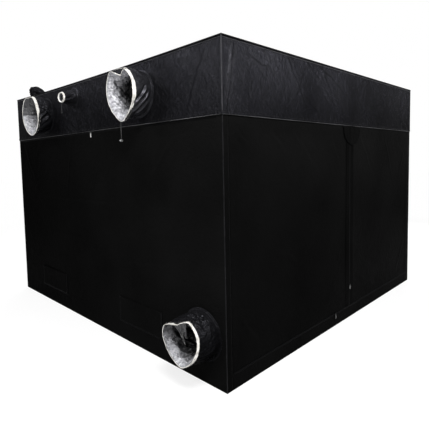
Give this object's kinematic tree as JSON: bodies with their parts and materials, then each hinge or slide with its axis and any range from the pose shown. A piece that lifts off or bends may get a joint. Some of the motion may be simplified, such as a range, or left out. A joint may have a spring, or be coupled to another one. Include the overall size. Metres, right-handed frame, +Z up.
{
  "type": "indoor grow tent",
  "caption": "Free-standing square indoor grow tent: steel pole frame under black laminated cloth, with duct sleeves, netted vents, a zipped front door and a lift-out spill tray",
  "frame": {"origin": "on the floor at the middle of the tent's square footprint, on the underside of the cover's floor sheet", "axes": "+Z up; the door wall faces -Y and the wall with the duct sleeves and vents faces -X"},
  "size_m": [3.0751, 2.9084, 2.1575],
  "materials": {
    "black_cloth": "black laminated canvas with a fine dimpled weave and a low sheen outside, silver film inside",
    "tray_cloth": "black waterproof laminated cloth",
    "coated_steel": "white powder coat, satin",
    "black_plastic": "black moulded plastic, satin",
    "vent_net": "black coarse net",
    "bright_metal": "bright plated metal",
    "cord": "black braided elastic cord"
  },
  "bodies": {
    "cover_and_frame": {"corner_post_front_left": "coated_steel", "corner_post_front_right": "coated_steel", "corner_post_back_left": "coated_steel", "corner_post_back_right": "coated_steel", "top_rail_front": "coated_steel", "top_rail_back": "coated_steel", "top_rail_left": "coated_steel", "top_rail_right": "coated_steel", "floor_rail_front": "coated_steel", "floor_rail_back": "coated_steel", "floor_rail_left": "coated_steel", "floor_rail_right": "coated_steel", "floor_corner_front_left": "coated_steel", "floor_corner_front_right": "coated_steel", "floor_corner_back_left": "coated_steel", "floor_corner_back_right": "coated_steel", "top_corner_front_left": "coated_steel", "top_corner_front_right": "coated_steel", "top_corner_back_left": "coated_steel", "top_corner_back_right": "coated_steel", "roof_panel": "black_cloth", "hood_band_front": "black_cloth", "hood_band_back": "black_cloth", "hood_band_left": "black_cloth", "hood_band_right": "black_cloth", "wall_left": "black_cloth", "wall_right": "black_cloth", "wall_back": "black_cloth", "door_strip_left": "black_cloth", "door_strip_right": "black_cloth", "cover_floor": "black_cloth", "door_sill": "black_cloth", "bottom_zip_chain": "black_plastic", "vent_net_front": "vent_net", "vent_net_back": "vent_net", "duct_sleeve_upper_front": "black_cloth", "duct_sleeve_upper_back": "black_cloth", "duct_sleeve_lower_front": "black_cloth", "cable_sleeve": "black_cloth", "roof_sleeve": "black_cloth", "draw_cord_front": "cord", "draw_cord_cable_sleeve": "cord"},
    "door_left": {"door_leaf_left": "black_cloth", "door_zip_chain": "black_plastic"},
    "door_right": {"door_leaf_right": "black_cloth"},
    "door_zip_slider": {"door_zip_slider": "black_plastic"},
    "door_zip_pull": {"door_zip_pull": "bright_metal"},
    "bottom_zip_slider": {"bottom_zip_slider": "black_plastic"},
    "bottom_zip_pull": {"bottom_zip_pull": "bright_metal"},
    "side_zip_slider": {"side_zip_slider": "black_plastic"},
    "side_zip_pull": {"side_zip_pull": "bright_metal"},
    "zip_tab": {"zip_tab": "black_cloth"},
    "vent_flap_front": {"vent_flap_front": "black_cloth"},
    "vent_flap_back": {"vent_flap_back": "black_cloth"},
    "hanging_bar_1": {"hanging_bar_1": "coated_steel"},
    "hanging_bar_2": {"hanging_bar_2": "coated_steel"},
    "hanging_bar_3": {"hanging_bar_3": "coated_steel"},
    "spill_tray": {"spill_tray": "tray_cloth"},
    "cord_lock_body": {"cord_lock_body": "bright_metal"},
    "cord_lock_plunger": {"cord_lock_plunger": "bright_metal"}
  },
  "joints": [
    {"name": "door_left_swing", "type": "hinge", "parent": "cover_and_frame", "child": "door_left", "pos_m": [-1.4, -1.4475, 0.838], "axis": [0, 0, -1], "range_deg": [0, 150], "deforming": ["zip_tab"]},
    {"name": "door_right_swing", "type": "hinge", "parent": "cover_and_frame", "child": "door_right", "pos_m": [1.4, -1.4475, 0.838], "axis": [0, 0, 1], "range_deg": [0, 150]},
    {"name": "door_zip_run", "type": "slide", "parent": "door_left", "child": "door_zip_slider", "axis": [0, 0, 1], "range_m": [-0.15, 1.28]},
    {"name": "door_zip_pull_swing", "type": "hinge", "parent": "door_zip_slider", "child": "door_zip_pull", "pos_m": [0.076, -1.4534, 0.274], "axis": [-1, 0, 0], "range_deg": [0, 150]},
    {"name": "bottom_zip_run", "type": "slide", "parent": "cover_and_frame", "child": "bottom_zip_slider", "axis": [1, 0, 0], "range_m": [-1.2, 1.5]},
    {"name": "bottom_zip_pull_swing", "type": "hinge", "parent": "bottom_zip_slider", "child": "bottom_zip_pull", "pos_m": [-0.168, -1.4534, 0.095], "axis": [-1, 0, 0], "range_deg": [0, 150]},
    {"name": "side_zip_run", "type": "slide", "parent": "cover_and_frame", "child": "side_zip_slider", "axis": [0, 1, 0], "range_m": [-1.3, 1.3]},
    {"name": "side_zip_pull_swing", "type": "hinge", "parent": "side_zip_slider", "child": "side_zip_pull", "pos_m": [-1.4524, -0.046, 1.5657], "axis": [0, 1, 0], "range_deg": [0, 150]},
    {"name": "zip_tab_lift", "type": "hinge", "parent": "cover_and_frame", "child": "zip_tab", "pos_m": [0.105, -1.4543, 1.578], "axis": [-1, 0, 0], "range_deg": [0, 170]},
    {"name": "vent_flap_front_lift", "type": "hinge", "parent": "cover_and_frame", "child": "vent_flap_front", "pos_m": [-1.4498, -0.62, 0.323], "axis": [0, 1, 0], "range_deg": [0, 170]},
    {"name": "vent_flap_back_lift", "type": "hinge", "parent": "cover_and_frame", "child": "vent_flap_back", "pos_m": [-1.4498, 0.75, 0.323], "axis": [0, 1, 0], "range_deg": [0, 170]},
    {"name": "hanging_bar_1_slide", "type": "slide", "parent": "cover_and_frame", "child": "hanging_bar_1", "axis": [1, 0, 0], "range_m": [-0.5, 0.5]},
    {"name": "hanging_bar_2_slide", "type": "slide", "parent": "cover_and_frame", "child": "hanging_bar_2", "axis": [1, 0, 0], "range_m": [-0.5, 0.5]},
    {"name": "hanging_bar_3_slide", "type": "slide", "parent": "cover_and_frame", "child": "hanging_bar_3", "axis": [1, 0, 0], "range_m": [-0.5, 0.5]},
    {"name": "spill_tray_lift", "type": "slide", "parent": "cover_and_frame", "child": "spill_tray", "axis": [0, 0, 1], "range_m": [0, 0.5]},
    {"name": "cord_lock_slide", "type": "slide", "parent": "cover_and_frame", "child": "cord_lock_body", "axis": [0, 0, 1], "range_m": [0, 0.105]},
    {"name": "cord_lock_press", "type": "slide", "parent": "cord_lock_body", "child": "cord_lock_plunger", "axis": [0, -1, 0], "range_m": [0, 0.0025], "stiffness_N_per_m": 200}
  ]
}
